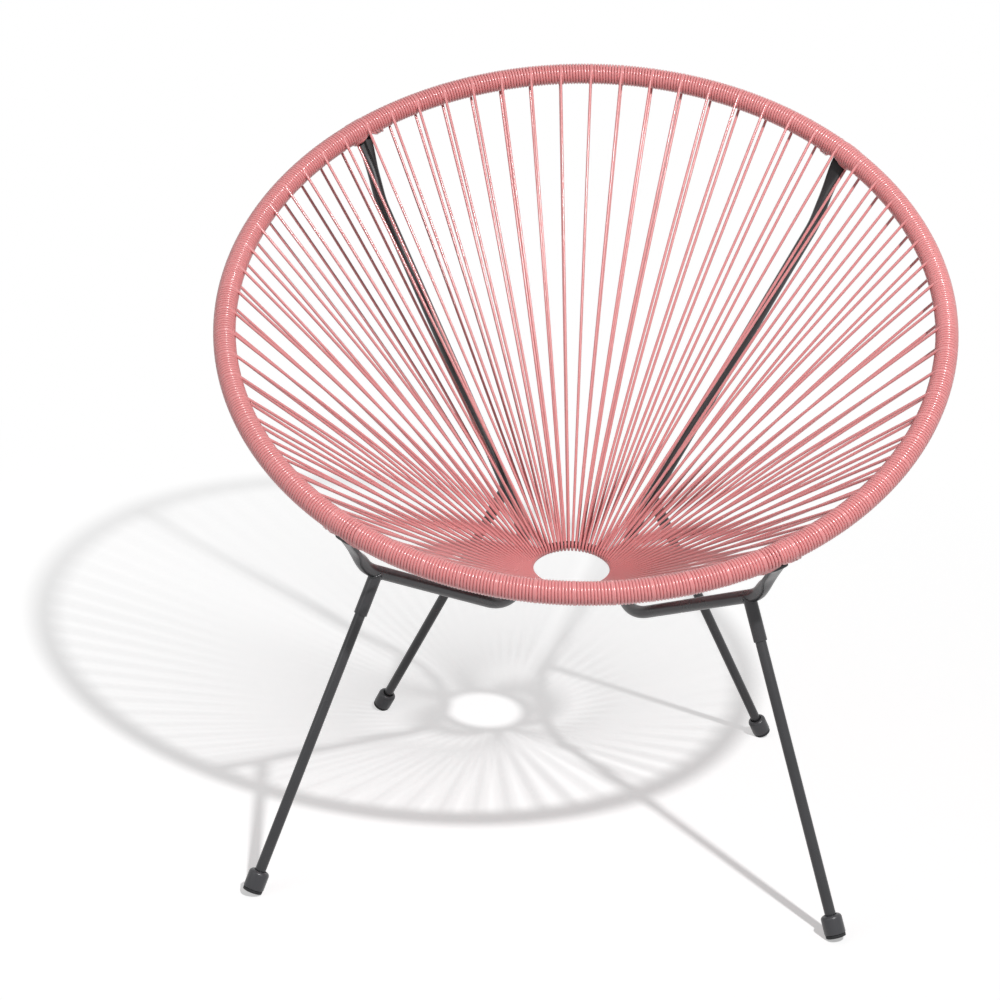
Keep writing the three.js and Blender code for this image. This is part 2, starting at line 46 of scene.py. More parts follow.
class Link:
    def __init__(self, graph, socket):
        self.graph = graph
        self.socket = socket

    def sum(self, operation, first, second):
        kinds = [value.socket.type for value in (first, second) if isinstance(value, Link)]
        vectors = "VECTOR" in kinds or isinstance(first, Vector) or isinstance(second, Vector)
        if not vectors:
            return self.graph.node("ShaderNodeMath", {"operation": operation}, [first, second])
        if operation == "MULTIPLY" and len(kinds) == 2 and kinds != ["VECTOR", "VECTOR"]:
            vector, share = (first, second) if kinds[0] == "VECTOR" else (second, first)
            return self.graph.node("ShaderNodeVectorMath", {"operation": "SCALE"}, {0: vector, 3: share})
        if operation == "MULTIPLY" and isinstance(second, (int, float)):
            return self.graph.node("ShaderNodeVectorMath", {"operation": "SCALE"}, {0: first, 3: second})
        return self.graph.node("ShaderNodeVectorMath", {"operation": operation}, [first, second])

    def __add__(self, other):
        return self.sum("ADD", self, other)

    def __radd__(self, other):
        return self.sum("ADD", other, self)

    def __sub__(self, other):
        return self.sum("SUBTRACT", self, other)

    def __rsub__(self, other):
        return self.sum("SUBTRACT", other, self)

    def __mul__(self, other):
        return self.sum("MULTIPLY", self, other)

    def __rmul__(self, other):
        return self.sum("MULTIPLY", self, other)

    def __truediv__(self, other):
        return self.sum("DIVIDE", self, other)

    def __neg__(self):
        return self * -1.0

    def maths(self, operation, *others):
        return self.graph.node("ShaderNodeMath", {"operation": operation}, [self, *others])

    def over(self, other):
        return self.maths("GREATER_THAN", other)

    def clamped(self):
        return self.graph.node("ShaderNodeClamp", {}, [self, 0.0, 1.0])

    def dot(self, other):
        return self.graph.node("ShaderNodeVectorMath", {"operation": "DOT_PRODUCT"}, [self, other], 1)

    def cross(self, other):
        return self.graph.node("ShaderNodeVectorMath", {"operation": "CROSS_PRODUCT"}, [self, other])

    def unit(self):
        return self.graph.node("ShaderNodeVectorMath", {"operation": "NORMALIZE"}, [self])

    def wave(self):
        return self.maths("COSINE"), self.maths("SINE")


class Graph:
    def __init__(self, tree):
        self.tree = tree

    def node(self, kind, settings=None, sockets=(), output=0):
        node = self.tree.nodes.new(kind)
        for name, value in (settings or {}).items():
            setattr(node, name, value)
        places = sockets.items() if isinstance(sockets, dict) else enumerate(sockets)
        for place, value in places:
            if isinstance(value, Link):
                self.tree.links.new(value.socket, node.inputs[place])
            else:
                node.inputs[place].default_value = value
        return Link(self, node.outputs[output]) if node.outputs else node

    def mix(self, first, second, share):
        vectors = any(isinstance(value, Link) and value.socket.type == "VECTOR" for value in (first, second))
        if vectors:
            return self.node("ShaderNodeMix", {"data_type": "VECTOR"}, {0: share, 4: first, 5: second}, 1)
        return self.node("ShaderNodeMix", {"data_type": "FLOAT"}, {0: share, 2: first, 3: second})

    def mixColour(self, first, second, share):
        return self.node("ShaderNodeMix", {"data_type": "RGBA"}, {0: share, 6: first, 7: second}, 2)

    def vector(self, x, y, z):
        return self.node("ShaderNodeCombineXYZ", {}, [x, y, z])


def colour(red, green, blue):
    # Display values from 0 to 255 as the linear values of a shader
    return tuple((part / 255) ** 2.2 for part in (red, green, blue)) + (1.0,)


# Finishes

cordFinish = {
    "colour": colour(228, 145, 145),
    "worn": colour(219, 134, 135),
    "roughness": (0.24, 0.34),
    "coat": 0.6,
    "coatRoughness": 0.16,
    "patchScale": 9.0,
    "grainScale": 900.0,
    "grainHeight": 0.00002,
}
steelFinish = {
    "colour": colour(53, 53, 55),
    "worn": colour(68, 68, 70),
    "paintedShade": colour(26, 25, 27),       # painted shade: a darker colour near the upper ends of the side tubes, standing in for the hoop's shade on them
    "paintedShadeFrom": 0.605,                # metres above the floor
    "paintedShadeTo": 0.650,
    "shadeZoneRoughness": 0.25,            # how much rougher it is there
    "roughness": (0.22, 0.34),
    "metallic": 0.25,
    "patchScale": 30.0,
    "grainScale": 1400.0,
    "grainHeight": 0.00003,
}
capFinish = {
    "colour": colour(54, 54, 57),
    "worn": colour(66, 66, 69),
    "roughness": (0.30, 0.42),
    "metallic": 0.0,
    "patchScale": 60.0,
    "grainScale": 2200.0,
    "grainHeight": 0.00002,
}
padFinish = {
    "colour": colour(26, 26, 28),
    "worn": colour(40, 40, 42),
    "roughness": (0.70, 0.85),
    "metallic": 0.0,
    "patchScale": 120.0,
    "grainScale": 3000.0,
    "grainHeight": 0.00005,
}


def finish(name, values):
    material = bpy.data.materials.new(name)
    material.use_nodes = True
    tree = material.node_tree
    tree.nodes.clear()
    graph = Graph(tree)
    place = graph.node("ShaderNodeTexCoord", {}, (), "Object")
    patch = graph.node("ShaderNodeTexNoise", {}, {
        "Vector": place, "Scale": values["patchScale"], "Detail": 3.0,
    })
    grain = graph.node("ShaderNodeTexNoise", {}, {
        "Vector": place, "Scale": values["grainScale"], "Detail": 2.0,
    })
    low, high = values["roughness"]
    tint = graph.mixColour(values["worn"], values["colour"], patch)
    roughness = low + (high - low) * patch
    if "paintedShade" in values:
        # Painted shade: above a given height the steel colour darkens towards near black, standing in for the
        # shade the hoop casts on the side tubes' upper ends; the roughness there is raised as well
        height = graph.node("ShaderNodeSeparateXYZ", {}, [place], 2)
        paintedShade = ((height - values["paintedShadeFrom"]) / (values["paintedShadeTo"] - values["paintedShadeFrom"])).clamped()
        tint = graph.mixColour(tint, values["paintedShade"], paintedShade)
        roughness = roughness + values["shadeZoneRoughness"] * paintedShade
    bump = graph.node("ShaderNodeBump", {}, {
        "Height": grain, "Distance": values["grainHeight"], "Strength": 1.0,
    })
    shader = graph.node("ShaderNodeBsdfPrincipled", {}, {
        "Base Color": tint,
        "Roughness": roughness,
        "Metallic": values.get("metallic", 0.0),
        "Coat Weight": values.get("coat", 0.0),
        "Coat Roughness": values.get("coatRoughness", 0.0),
        "Normal": bump,
    })
    graph.node("ShaderNodeOutputMaterial", {}, {"Surface": shader})
    return material


cordMaterial = finish("gloss_cord", cordFinish)
steelMaterial = finish("charcoal_steel", steelFinish)
capMaterial = finish("cap_plastic", capFinish)
padMaterial = finish("pad_rubber", padFinish)
print("the finishes are made")


# The hoop, the hub ring and the cord between them

hoop = {
    "radius": 358.3 * mm,
    "height": 536 * mm,
    "tilt": rad(34.5),
    "tube": 8 * mm,
    "steps": 180,
    "sides": 24,
}
hub = {
    "radius": 47 * mm,
    "setBack": 29 * mm,
    "height": 248 * mm,
    "tilt": rad(14.4),
    "rod": 4 * mm,
    "steps": 96,
    "sides": 16,
}
cord = {
    "diameter": 3.1 * mm,
    "pairs": 70,
    "evenPairs": 24.0,
    "bow": 0.45,                   # pairs by which the strands half way to evenPairs lie further down
    "frontTabPairs": 29.0,
    "frontTabAngle": rad(147),
    "backTabPairs": 9.0,
    "wrapPitch": 3.1 * mm,
    "standOff": 0.2 * mm,
    "hubSqueeze": 0.09,            # how much thinner it is where it rounds the hub ring
    "squeezePower": 6.0,           # how late on its way there it thins
    "wrapPoints": 130,             # in half a cell of winding
    "strandPoints": 6,
    "hubPoints": 8,
    "sides": 8,
}
parting = {
    "clear": 11.0 * mm,            # from the middle of a flattened tube end to the first turn
    "crowd": 0.5,                  # spacing of the turns beside it, against their spacing elsewhere
    "fade": 6 * mm,                # over which the lift eases in where the crowding begins
    "backTurn": rad(277.5),        # the middle of the opening, round the hoop
    "backFull": rad(52.5),         # how far to each side of it the turns are wholly parted
    "backNone": rad(112.5),        # and how far not at all
    "backRise": 3.5 * mm,          # how much nearer to the top of the hoop the end lies than its pairs say
    "backLift": 2.7 * mm,          # every second turn beside it lies this much on top of its neighbours
    "frontTurn": rad(293),
    "frontFull": rad(30),
    "frontNone": rad(45),
    "frontRise": 0.0,
    "frontLift": 1.2 * mm,
}


def startTree(name, whole, sizes):
    # A tree that takes whole numbers, sizes and a material, and gives a geometry
    tree = bpy.data.node_groups.new(name, "GeometryNodeTree")
    kinds = [(socket, "Int") for socket in whole] + [(socket, "Float") for socket in sizes]
    for socket, kind in kinds + [("material", "Material")]:
        tree.interface.new_socket(socket, in_out="INPUT", socket_type="NodeSocket" + kind)
    tree.interface.new_socket("Geometry", in_out="OUTPUT", socket_type="NodeSocketGeometry")
    graph = Graph(tree)
    source = tree.nodes.new("NodeGroupInput")
    given = {socket.name: Link(graph, socket) for socket in source.outputs if socket.name}
    return graph, given


def endTree(graph, mesh, material):
    smooth = graph.node("GeometryNodeSetShadeSmooth", {}, {"Geometry": mesh})
    plain = graph.node("GeometryNodeRealizeInstances", {}, {"Geometry": smooth})
    dressed = graph.node("GeometryNodeSetMaterial", {}, {"Geometry": plain, "Material": material})
    graph.node("NodeGroupOutput", {}, {"Geometry": dressed})
    return graph.tree


def madeBy(tree, name, values):
    # Runs a tree on an empty mesh and keeps the result as a plain mesh object
    seed = bpy.data.objects.new(name + "_seed", bpy.data.meshes.new(name + "_seed"))
    bpy.context.scene.collection.objects.link(seed)
    modifier = seed.modifiers.new("shape", "NODES")
    modifier.node_group = tree
    for socket in tree.interface.items_tree:
        if socket.in_out == "INPUT":
            modifier[socket.identifier] = values[socket.name]
    bpy.context.view_layer.update()
    state = bpy.context.evaluated_depsgraph_get()
    mesh = bpy.data.meshes.new_from_object(seed.evaluated_get(state), depsgraph=state)
    seed.modifiers.remove(modifier)
    bpy.data.objects.remove(seed)
    mesh.name = name
    piece = bpy.data.objects.new(name, mesh)
    bpy.context.scene.collection.objects.link(piece)
    return piece


def cordTree():
    whole = ("firstStation", "cells", "pairs", "wrapPoints", "strandPoints", "hubPoints", "sides")
    sizes = (
        "hoopRadius", "hoopHeight", "hoopTilt", "hoopTube", "hubRadius", "hubSetBack", "hubHeight", "hubTilt",
        "hubRod", "diameter", "evenPairs", "bow", "frontTabPairs", "frontTabAngle", "backTabPairs",
        "wrapPitch", "standOff", "hubSqueeze", "clear", "crowd", "fade",
        "backTurn", "backFull", "backNone", "backRise", "backLift",
        "frontTurn", "frontFull", "frontNone", "frontRise", "frontLift",
    )
    graph, given = startTree("woundCord", whole, sizes)
    turn = 2 * math.pi
    underHoop = turn * 0.75
    pairs = given["pairs"]
    pairAngle = turn * pairs.maths("POWER", -1.0)

    # Angle down from the top of the hoop, positive towards +X
    def fromTop(station):
        wrapped = station.maths("WRAP", pairs, 0.0)
        left = wrapped.over(pairs / 2.0)
        near = wrapped + left * (pairs - 2.0 * wrapped)
        evenEnd = given["evenPairs"]
        tabEnd = given["frontTabPairs"]
        upper = near.maths("MINIMUM", evenEnd)
        even = (upper + given["bow"] * (upper / evenEnd * math.pi).maths("SINE")) * pairAngle
        beyondEven = ((near - evenEnd) / (tabEnd - evenEnd)).clamped()
        beyondTab = ((near - tabEnd) / (pairs / 2.0 - tabEnd)).clamped()
        angle = even + beyondEven * (given["frontTabAngle"] - evenEnd * pairAngle)
        angle = angle + beyondTab * (math.pi - given["frontTabAngle"])
        return angle * (1.0 - 2.0 * left)

    def ringFrame(angle, radius, tilt, centre):
        cosA, sinA = angle.wave()
        cosT, sinT = tilt.wave()
        point = graph.vector(radius * cosA, radius * sinA * cosT, radius * sinA * sinT) + centre
        side = graph.vector(sinA, -cosA * cosT, -cosA * sinT)
        return point, side

    # Each cell of the cord: half a cell of winding, a strand in, round the hub ring, a strand out
    # and half of the next cell's winding
    wrap = given["wrapPoints"]
    strand = given["strandPoints"]
    rounding = given["hubPoints"]
    index = graph.node("GeometryNodeInputIndex")
    perCell = 2.0 * wrap + 2.0 * strand + rounding
    cell = ((index + 0.5) / perCell).maths("FLOOR")
    step = index - cell * perCell
    later = step.over(wrap + strand + rounding / 2.0)
    firstHalf = 0.5 + 0.5 * (step / wrap).clamped()
    lastHalf = 0.5 * ((step - (wrap + 2.0 * strand + rounding)) / wrap).clamped()
    share = graph.mix(firstHalf, lastHalf, later)
    out = ((step - wrap) / strand).clamped() - ((step - (wrap + strand + rounding)) / strand).clamped()
    roundHub = math.pi / 2 + math.pi * ((step - (wrap + strand)) / rounding).clamped()
    cellStation = given["firstStation"] + cell + later
    strandStation = given["firstStation"] + cell + 0.5

    # The turns of a cell, a half over a whole number, so that a strand leaves over the hoop and comes
    # back under it
    span = (fromTop(cellStation + 0.5) - fromTop(cellStation - 0.5)).maths("WRAP", math.pi, -math.pi)
    cellLength = given["hoopRadius"] * span.maths("ABSOLUTE")
    turns = (cellLength / given["wrapPitch"]).maths("FLOOR") + 0.5
    wound = share * turns
    roundHoop = underHoop - turn * wound
    station = cellStation - 0.5 + share
    turnNumber = (wound + 0.5).maths("FLOOR")
    turnStation = cellStation - 0.5 + turnNumber / turns

    # Beside each flattened tube end the turns are pushed apart and crowd in two layers
    theta = fromTop(station)
    turnTheta = fromTop(turnStation)
    reach = given["clear"] / (1.0 - given["crowd"])
    push = 0.0
    lift = 0.0
    tabAngles = {"back": given["backTabPairs"] * pairAngle, "front": given["frontTabAngle"]}
    for end, tabAngle in tabAngles.items():
        middle, full, none = (given[end + word] for word in ("Turn", "Full", "None"))
        for side in (1.0, -1.0):
            tabTheta = (tabAngle - given[end + "Rise"] / given["hoopRadius"]) * side
            offset = (theta - tabTheta).maths("WRAP", math.pi, -math.pi) * given["hoopRadius"]
            turnOffset = (turnTheta - tabTheta).maths("WRAP", math.pi, -math.pi) * given["hoopRadius"]
            away = turnOffset.maths("ABSOLUTE")
            sign = turnOffset.maths("SIGN")
            near = reach.maths("GREATER_THAN", away)
            behind = (roundHoop - middle).maths("WRAP", math.pi, -math.pi).maths("ABSOLUTE")
            ease = ((none - behind) / (none - full)).clamped()
            weight = ease * ease * (3.0 - 2.0 * ease) * near
            pushed = sign * (given["clear"] + given["crowd"] * away)
            push = (pushed - offset) * weight + push
            odd = (turnNumber + cellStation).maths("MODULO", 2.0)
            fading = ((reach - away) / given["fade"]).clamped()
            lift = weight * odd.maths("ABSOLUTE") * fading * given[end + "Lift"] + lift
    theta = theta + push / given["hoopRadius"]

    hoopCentre = graph.vector(0.0, 0.0, given["hoopHeight"])
    hubCentre = graph.vector(0.0, given["hubSetBack"], given["hubHeight"])
    strandTheta = fromTop(strandStation)
    hubAngle = math.pi / 2 - strandStation * pairAngle
    wrapHubAngle = math.pi / 2 - station * pairAngle
    rimPoint, rimSide = ringFrame(math.pi / 2 - theta, given["hoopRadius"], given["hoopTilt"], hoopCentre)
    aim, _ = ringFrame(wrapHubAngle, given["hubRadius"], given["hubTilt"], hubCentre)
    hubPoint, hubSide = ringFrame(hubAngle, given["hubRadius"], given["hubTilt"], hubCentre)
    strandRim, _ = ringFrame(math.pi / 2 - strandTheta, given["hoopRadius"], given["hoopTilt"], hoopCentre)

    def square(direction, side):
        return (direction - side * direction.dot(side)).unit()

    radius = given["diameter"] * 0.5
    inward = square((aim - rimPoint).unit(), rimSide)
    over = inward.cross(rimSide)
    cosR, sinR = roundHoop.wave()
    windRadius = given["hoopTube"] + radius + given["standOff"] + lift
    rim = rimPoint + inward * (windRadius * cosR) + over * (windRadius * sinR)
    hubInward = square((strandRim - hubPoint).unit(), hubSide)
    hubOver = hubSide.cross(hubInward)
    cosH, sinH = roundHub.wave()
    hubTurn = given["hubRod"] + radius + given["standOff"]
    hubPlace = hubPoint + hubInward * (hubTurn * cosH) + hubOver * (hubTurn * sinH)
    place = graph.mix(rim, hubPlace, out)
    thickness = radius * (1.0 - given["hubSqueeze"] * out.maths("POWER", cord["squeezePower"]))

    line = graph.node("GeometryNodeMeshLine", {}, {"Count": given["cells"] * perCell + 1.0})
    curve = graph.node("GeometryNodeMeshToCurve", {}, {"Mesh": line})
    curve = graph.node("GeometryNodeSetPosition", {}, {"Geometry": curve, "Position": place})
    profile = graph.node("GeometryNodeCurvePrimitiveCircle", {}, {
        "Resolution": given["sides"], "Radius": 1.0,
    })
    mesh = graph.node("GeometryNodeCurveToMesh", {}, {
        "Curve": curve, "Profile Curve": profile, "Scale": thickness, "Fill Caps": True,
    })
    return endTree(graph, mesh, given["material"])


def ringTree():
    # A round bar bent to a circle, leaning back about the X axis
    sizes = ("radius", "bar", "tilt", "setBack", "height")
    graph, given = startTree("leaningRing", ("steps", "sides"), sizes)
    path = graph.node("GeometryNodeCurvePrimitiveCircle", {}, {
        "Resolution": given["steps"], "Radius": given["radius"],
    })
    profile = graph.node("GeometryNodeCurvePrimitiveCircle", {}, {
        "Resolution": given["sides"], "Radius": given["bar"],
    })
    mesh = graph.node("GeometryNodeCurveToMesh", {}, {"Curve": path, "Profile Curve": profile})
    leaned = graph.node("GeometryNodeTransform", {}, {
        "Geometry": mesh,
        "Translation": graph.vector(0.0, given["setBack"], given["height"]),
        "Rotation": graph.vector(given["tilt"], 0.0, 0.0),
    })
    return endTree(graph, leaned, given["material"])


def keep(piece, slotName, *nodes):
    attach(piece, "root")
    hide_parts(*nodes)


def outward(piece):
    form = bmesh.new()
    form.from_mesh(piece.data)
    bmesh.ops.remove_doubles(form, verts=form.verts, dist=1e-7)
    bmesh.ops.recalc_face_normals(form, faces=form.faces)
    form.to_mesh(piece.data)
    form.free()
    return piece


woundCord = cordTree()
stretchNames = ("back", "upper", "middle", "lower", "front")
cordValues = {
    "hoopRadius": hoop["radius"], "hoopHeight": hoop["height"],
    "hoopTilt": hoop["tilt"], "hoopTube": hoop["tube"],
    "hubRadius": hub["radius"], "hubSetBack": hub["setBack"],
    "hubHeight": hub["height"], "hubTilt": hub["tilt"], "hubRod": hub["rod"],
    "material": cordMaterial, **cord, **parting,
}
cellsEach = cord["pairs"] // 2 // len(stretchNames)
for number, stretch in enumerate(stretchNames):
    for hand, first in (("right", number * cellsEach), ("left", cord["pairs"] - (number + 1) * cellsEach)):
        piece = madeBy(woundCord, "wound_cord_" + stretch + "_" + hand, {
            **cordValues, "firstStation": first, "cells": cellsEach,
        })
        outward(piece)
        keep(piece, "cord", "seat_cord_" + stretch + "_" + hand)
print("the cord is wound")

leaningRing = ringTree()
hoopTube = madeBy(leaningRing, "steel_hoop", {
    "radius": hoop["radius"], "bar": hoop["tube"], "tilt": hoop["tilt"], "setBack": 0.0,
    "height": hoop["height"], "steps": hoop["steps"], "sides": hoop["sides"], "material": steelMaterial,
})
keep(outward(hoopTube), "frame", "hoop_tube")
hubRing = madeBy(leaningRing, "steel_hub_ring", {
    "radius": hub["radius"], "bar": hub["rod"], "tilt": hub["tilt"], "setBack": hub["setBack"],
    "height": hub["height"], "steps": hub["steps"], "sides": hub["sides"], "material": steelMaterial,
})
keep(outward(hubRing), "frame", "hub_ring")
print("the hoop and the hub ring are made")


# The side tubes

sideTube = {
    "radius": 6.5 * mm,
    "tabHalfWidth": 8.5 * mm,
    "tabHalfThickness": 2.6 * mm,
    "tabDrop": 10.9 * mm,
    "backPast": 5 * mm,                # how far the back end goes on past the hoop's middle
    "frontPast": -4 * mm,              # and the front end, which stops short of it
    "backTurn": rad(5.2), "frontTurn": rad(262),
    "straight": 13 * mm,
    "backFlat": 18 * mm, "backBlend": 36 * mm,
    "frontFlat": 30 * mm, "frontBlend": 30 * mm,
    "easeAlong": 78 * mm, "easeDrop": 21 * mm,
    "tabBend": 30 * mm, "easeBend": 110 * mm, "innerReach": 154 * mm, "frontBend": 60 * mm,
    "innerVertex": Vector((5, 59, -82)) * mm,          # from the middle of the hub ring
    "frontVertex": Vector((-10.7, 60.1, -59.2)) * mm,  # from the middle of the front end
    "sides": 32,
    "step": 3 * mm,
    "squareness": 0.55,                # exponent of the flattened section, 1 for an ellipse
    "backTwist": (0.1, 0.4),           # shares of its length over which the section turns to an end
    "frontTwist": (0.7, 0.9),
    "lip": 1.2 * mm,
    "lipShape": ((0.0, 0.55), (0.3, 0.85), (1.0, 1.0)),  # shares of the lip and of the thickness
    "lipClear": 1.5,                   # lips left free of other rings at each end
}


def stationAngle(station):
    # Without the bow of the strands, since it only places the tube ends
    pairAngle = 2 * math.pi / cord["pairs"]
    marks = [
        (0, 0), (cord["evenPairs"], cord["evenPairs"] * pairAngle),
        (cord["frontTabPairs"], cord["frontTabAngle"]), (cord["pairs"] / 2, math.pi),
    ]
    for (start, startAngle), (end, endAngle) in zip(marks, marks[1:]):
        if station <= end:
            break
    return math.pi / 2 - startAngle - (station - start) / (end - start) * (endAngle - startAngle)


def onRing(ring, angle, setBack=0.0):
    rise = ring["radius"] * math.sin(angle)
    return Vector((
        ring["radius"] * math.cos(angle),
        rise * math.cos(ring["tilt"]) + setBack,
        rise * math.sin(ring["tilt"]) + ring["height"],
    ))


def rimFrame(station):
    angle = stationAngle(station)
    point = onRing(hoop, angle)
    target = onRing(hub, math.pi / 2 - station * 2 * math.pi / cord["pairs"], hub["setBack"])
    tilt = hoop["tilt"]
    side = Vector((math.sin(angle), -math.cos(angle) * math.cos(tilt), -math.cos(angle) * math.sin(tilt)))
    toward = (target - point).normalized()
    inward = (toward - side * toward.dot(side)).normalized()
    return {"point": point, "side": side, "toward": toward, "inward": inward, "over": inward.cross(side)}


def bentRoute(corners, step):
    # Straight runs with a round bend at each corner, as points at most one step apart in the bends
    # and two on the runs.
    # A bend is given by its reach along the runs where that is below zero, and else by its radius.
    route = [corners[0][0]]
    for (before, _), (point, radius), (after, _) in zip(corners, corners[1:], corners[2:]):
        back = (before - point).normalized()
        ahead = (after - point).normalized()
        half = back.angle(ahead) / 2
        radius = radius if radius > 0 else -radius * math.tan(half)
        sweep = math.pi - 2 * half
        centre = point + (back + ahead).normalized() * (radius / math.sin(half))
        start = point + back * (radius / math.tan(half)) - centre
        axis = ahead.cross(back).normalized()
        count = max(3, math.ceil(sweep * radius / step))
        for n in range(count + 1):
            route.append(Matrix.Rotation(sweep * n / count, 3, axis) @ start + centre)
    route.append(corners[-1][0])
    dense = [route[0]]
    for start, end in zip(route, route[1:]):
        count = max(1, math.ceil((end - start).length / (step * 2)))
        dense.extend(start.lerp(end, (n + 1) / count) for n in range(count))
    return dense


def smoothstep(value, low, high):
    share = min(max((value - low) / (high - low), 0.0), 1.0)
    return share * share * (3 - 2 * share)


pairPitch = hoop["radius"] * 2 * math.pi / cord["pairs"]
backEnd = rimFrame(cord["backTabPairs"] - parting["backRise"] / pairPitch)
frontEnd = rimFrame(cord["frontTabPairs"])
hubCentre = Vector((0, hub["setBack"], hub["height"]))
innerVertex = hubCentre + sideTube["innerVertex"]
frontVertex = frontEnd["point"] + sideTube["frontVertex"]


def between(first, second, angle):
    return first * math.cos(angle) + second * math.sin(angle)


backAlong = between(backEnd["toward"], backEnd["side"], sideTube["backTurn"])
frontUnder = between(frontEnd["inward"], frontEnd["over"], sideTube["frontTurn"])
frontAlong = between(frontEnd["inward"], frontEnd["over"], sideTube["frontTurn"] + math.pi / 2)


def backPlace(distance, drop):
    return backEnd["point"] + backAlong * distance - backEnd["over"] * drop


def frontPlace(distance):
    return frontEnd["point"] + frontAlong * distance + frontUnder * sideTube["tabDrop"]


easeCorner = backPlace(sideTube["easeAlong"], sideTube["easeDrop"])
tubeRoute = bentRoute([
    (backPlace(-sideTube["backPast"], sideTube["tabDrop"]), None),
    (backPlace(sideTube["straight"], sideTube["tabDrop"]), sideTube["tabBend"]),
    (easeCorner, sideTube["easeBend"]),
    (innerVertex, -sideTube["innerReach"]),
    (frontVertex, sideTube["frontBend"]),
    (frontPlace(sideTube["straight"]), sideTube["tabBend"]),
    (frontPlace(-sideTube["frontPast"]), None),
], sideTube["step"])
bendAxis = (easeCorner - innerVertex).cross(frontVertex - innerVertex).normalized()


def formed(name, form, material, sharpFrom=rad(48)):
    bmesh.ops.recalc_face_normals(form, faces=form.faces)
    for face in form.faces:
        face.smooth = True
    for edge in form.edges:
        edge.smooth = not (edge.is_manifold and edge.calc_face_angle(0) > sharpFrom)
    mesh = bpy.data.meshes.new(name)
    form.to_mesh(mesh)
    form.free()
    mesh.materials.append(material)
    piece = bpy.data.objects.new(name, mesh)
    bpy.context.scene.collection.objects.link(piece)
    return piece


def sideTubeMesh(name, mirror):
    form = bmesh.new()
    lengths = [0.0]
    for before, after in zip(tubeRoute, tubeRoute[1:]):
        lengths.append(lengths[-1] + (after - before).length)
    total = lengths[-1]
    lip = sideTube["lip"]
    clear = lip * sideTube["lipClear"]
    stops = [(lip * at, size) for at, size in sideTube["lipShape"]]
    stops += [(at, 1.0) for at in lengths if clear < at < total - clear]
    stops += [(total - lip * at, size) for at, size in reversed(sideTube["lipShape"])]
    backRound = sideTube["backFlat"] + sideTube["backBlend"]
    frontRound = sideTube["frontFlat"] + sideTube["frontBlend"]
    rings = []
    for at, shrink in stops:
        n = next((i for i, length in enumerate(lengths) if length >= at - 1e-9), len(lengths) - 1)
        n = max(n, 1)
        share = (at - lengths[n - 1]) / (lengths[n] - lengths[n - 1])
        point = tubeRoute[n - 1].lerp(tubeRoute[n], share)
        direction = (tubeRoute[min(n + 1, len(tubeRoute) - 1)] - tubeRoute[max(n - 2, 0)]).normalized()
        back = 1 - smoothstep(at, sideTube["backFlat"], backRound)
        front = 1 - smoothstep(total - at, sideTube["frontFlat"], frontRound)
        flat = max(back, front)
        nearBack = 1 - smoothstep(at / total, *sideTube["backTwist"])
        nearFront = smoothstep(at / total, *sideTube["frontTwist"])
        across = bendAxis * (1 - nearBack - nearFront)
        across += backEnd["side"] * nearBack * math.copysign(1, backEnd["side"].dot(bendAxis))
        across += frontEnd["side"] * nearFront * math.copysign(1, frontEnd["side"].dot(bendAxis))
        wide = (across - direction * across.dot(direction)).normalized()
        thick = wide.cross(direction)
        halfWidth = sideTube["radius"] + (sideTube["tabHalfWidth"] - sideTube["radius"]) * flat
        halfThick = sideTube["radius"] + (sideTube["tabHalfThickness"] - sideTube["radius"]) * flat
        power = 1 + (sideTube["squareness"] - 1) * flat
        trim = (1 - shrink) * sideTube["tabHalfThickness"]
        ring = []
        for k in range(sideTube["sides"]):
            angle = 2 * math.pi * (k + 0.5) / sideTube["sides"]
            cosine, sine = math.cos(angle), math.sin(angle)
            sideways = (halfWidth - trim) * math.copysign(abs(cosine) ** power, cosine)
            up = (halfThick - trim) * math.copysign(abs(sine) ** power, sine)
            corner = point + wide * sideways + thick * up
            if mirror:
                corner.x = -corner.x
            ring.append(form.verts.new(corner))
        rings.append(ring)
    for first, second in zip(rings, rings[1:]):
        for k in range(len(first)):
            m = (k + 1) % len(first)
            form.faces.new((first[k], first[m], second[m], second[k]))
    form.faces.new(rings[0])
    form.faces.new(reversed(rings[-1]))
    return formed(name, form, steelMaterial)


for hand, mirror in (("right", False), ("left", True)):
    keep(sideTubeMesh("bent_side_tube_" + hand, mirror), "frame", "side_tube_" + hand)
print("the side tubes are bent")


# The legs, their sockets, caps and pads

leg = {
    "radius": 5.25 * mm,
    "stud": 3 * mm,
    "studLength": 9 * mm,
    "clearance": 0.3 * mm,
    "edge": 0.5 * mm,
    "frontFoot": (277 * mm, -271 * mm),    # sideways and back from the origin
    "rearFoot": (224 * mm, 205 * mm),
}
socket = {
    "radius": 6.5 * mm,
    "reach": 37.5 * mm,
    "bore": 22 * mm,
    "studHole": 10.5 * mm,
    "start": 3 * mm,              # the round top hides in the side tube
    "frontAlong": 15 * mm,
    "rearAlong": 162 * mm,
    "edge": 0.7 * mm,
}
weld = {"size": 1.1 * mm, "points": 72, "sides": 8, "ripple": 0.16, "ripples": 18}
cap = {
    "radius": 10 * mm,
    "length": 18 * mm,
    "floor": 4 * mm,
    "shoulder": 3.6 * mm,
    "shoulderStep": 15,               # degrees
    "lip": 1.5 * mm,
    "lipEdge": 0.4 * mm,
    "edge": 0.6 * mm,
}
pad = {"radius": 9.5 * mm, "thickness": 3 * mm, "wear": 1 * mm, "edge": 0.6 * mm}
lathe = {"sides": 48, "filletSteps": 4, "filletShare": 0.49}


